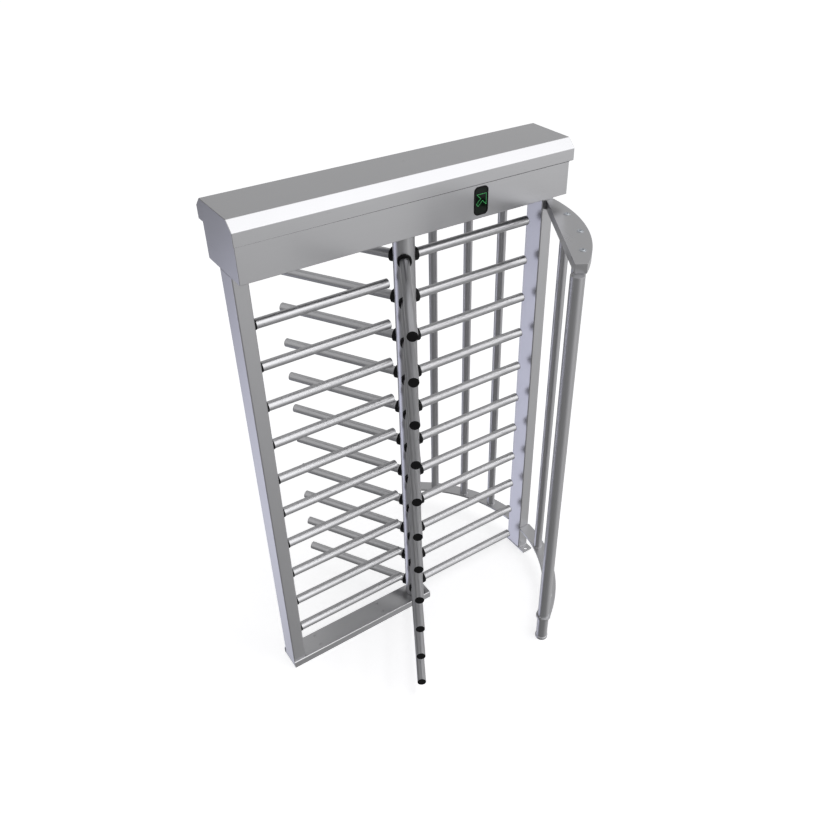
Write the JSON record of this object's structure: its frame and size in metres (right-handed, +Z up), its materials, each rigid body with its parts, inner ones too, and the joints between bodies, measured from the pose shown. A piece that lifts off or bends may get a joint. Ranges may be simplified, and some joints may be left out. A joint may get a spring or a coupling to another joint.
{
  "type": "full-height turnstile",
  "caption": "Full-height pedestrian turnstile: three-wing rotor under a box header, with a fixed comb barrier on one side and a curved guide cage on the other.",
  "frame": {"origin": "the rotor's axis at floor level", "axes": "+Z up along the rotor's axis; +X from the comb towards the guide cage; -Y is the side with the lane display"},
  "size_m": [1.472, 1.2428, 2.3],
  "materials": {
    "stainless_sheet": "brushed stainless sheet",
    "stainless_tube": "satin polished stainless tube",
    "galvanised_steel": "zinc plated steel",
    "zinc_fasteners": "bright zinc plated",
    "black_plastic": "moulded, fine grain",
    "display_lens": "dark tinted acrylic",
    "display_light": "lit green",
    "circuit_board": "solder resist",
    "machined_steel": "turned and milled",
    "bearing_steel": "ground and polished",
    "cast_housing": "cast, faced",
    "bronze": "turned bronze",
    "solenoid_case": "black lacquer",
    "electronics_case": "powder coated"
  },
  "bodies": {
    "frame": {"base_plate": "galvanised_steel", "base_cover": "stainless_sheet", "base_spacers": "galvanised_steel", "left_post": "stainless_tube", "right_post": "stainless_tube", "right_foot": "stainless_tube", "post_top_blocks": "galvanised_steel", "header_body": "stainless_sheet", "header_cross_plates": "galvanised_steel", "header_rails": "galvanised_steel", "header_bulkheads": "galvanised_steel", "header_lid": "stainless_sheet", "lid_rail": "galvanised_steel", "lid_screws": "zinc_fasteners", "post_bolts": "zinc_fasteners", "display_bezel": "black_plastic", "display_lens": "display_lens", "display_arrow": "display_light", "display_board": "circuit_board", "comb_bars": "stainless_tube", "comb_collars": "black_plastic", "guide_rings": "stainless_tube", "guide_tubes": "stainless_tube", "end_posts": "stainless_tube", "end_flanges": "stainless_tube", "guide_tops": "stainless_sheet", "guide_screws": "zinc_fasteners", "pivot_pin": "machined_steel", "thrust_washer": "bronze", "pivot_screws": "zinc_fasteners", "mechanism_plate": "galvanised_steel", "mechanism_bolts": "zinc_fasteners", "bearing_housing": "cast_housing", "bearing_outer": "bearing_steel", "bearing_balls": "bearing_steel", "damper_body": "cast_housing", "pawl_pins": "machined_steel", "solenoids": "solenoid_case", "controller_box": "electronics_case", "power_supply": "electronics_case"},
    "rotor": {"rotor_column": "stainless_tube", "column_plug_top": "galvanised_steel", "column_plug_bottom": "galvanised_steel", "rotor_shaft": "machined_steel", "arms_a": "stainless_tube", "arms_b": "stainless_tube", "arms_c": "stainless_tube", "arm_collars": "black_plastic", "arm_caps": "black_plastic", "pivot_bush": "bronze", "bearing_inner": "bearing_steel", "damper_gear": "machined_steel", "lock_disc": "machined_steel", "shaft_spacers": "machined_steel", "shaft_nut": "zinc_fasteners"},
    "pinion": {"damper_pinion": "machined_steel"},
    "entry_pawl": {"entry_pawl": "machined_steel"},
    "exit_pawl": {"exit_pawl": "machined_steel"},
    "entry_plunger": {"entry_plunger": "machined_steel"},
    "exit_plunger": {"exit_plunger": "machined_steel"}
  },
  "joints": [
    {"name": "rotor_spin", "type": "hinge", "parent": "frame", "child": "rotor", "pos_m": [0, 0, 0.041], "axis": [0, 0, 1], "continuous": true},
    {"name": "damper_spin", "type": "hinge", "parent": "frame", "child": "pinion", "pos_m": [0.1203, 0, 2.13], "axis": [0, 0, 1], "continuous": true},
    {"name": "entry_pawl_swing", "type": "hinge", "parent": "frame", "child": "entry_pawl", "pos_m": [-0.085, 0.072, 2.152], "axis": [0, 0, -1], "range_deg": [0, 8], "stiffness_Nm_per_rad": 0.5},
    {"name": "exit_pawl_swing", "type": "hinge", "parent": "frame", "child": "exit_pawl", "pos_m": [-0.085, -0.072, 2.152], "axis": [0, 0, 1], "range_deg": [0, 8], "stiffness_Nm_per_rad": 0.5},
    {"name": "entry_plunger_slide", "type": "slide", "parent": "frame", "child": "entry_plunger", "axis": [-1, 0, 0], "range_m": [0, 0.0056]},
    {"name": "exit_plunger_slide", "type": "slide", "parent": "frame", "child": "exit_plunger", "axis": [-1, 0, 0], "range_m": [0, 0.0056]}
  ],
  "couplings": [
    {"joint": "damper_spin", "follows": "rotor_spin", "ratio": -3},
    {"joint": "entry_plunger_slide", "follows": "entry_pawl_swing", "m_per_rad": 0.04},
    {"joint": "exit_plunger_slide", "follows": "exit_pawl_swing", "m_per_rad": 0.04}
  ]
}
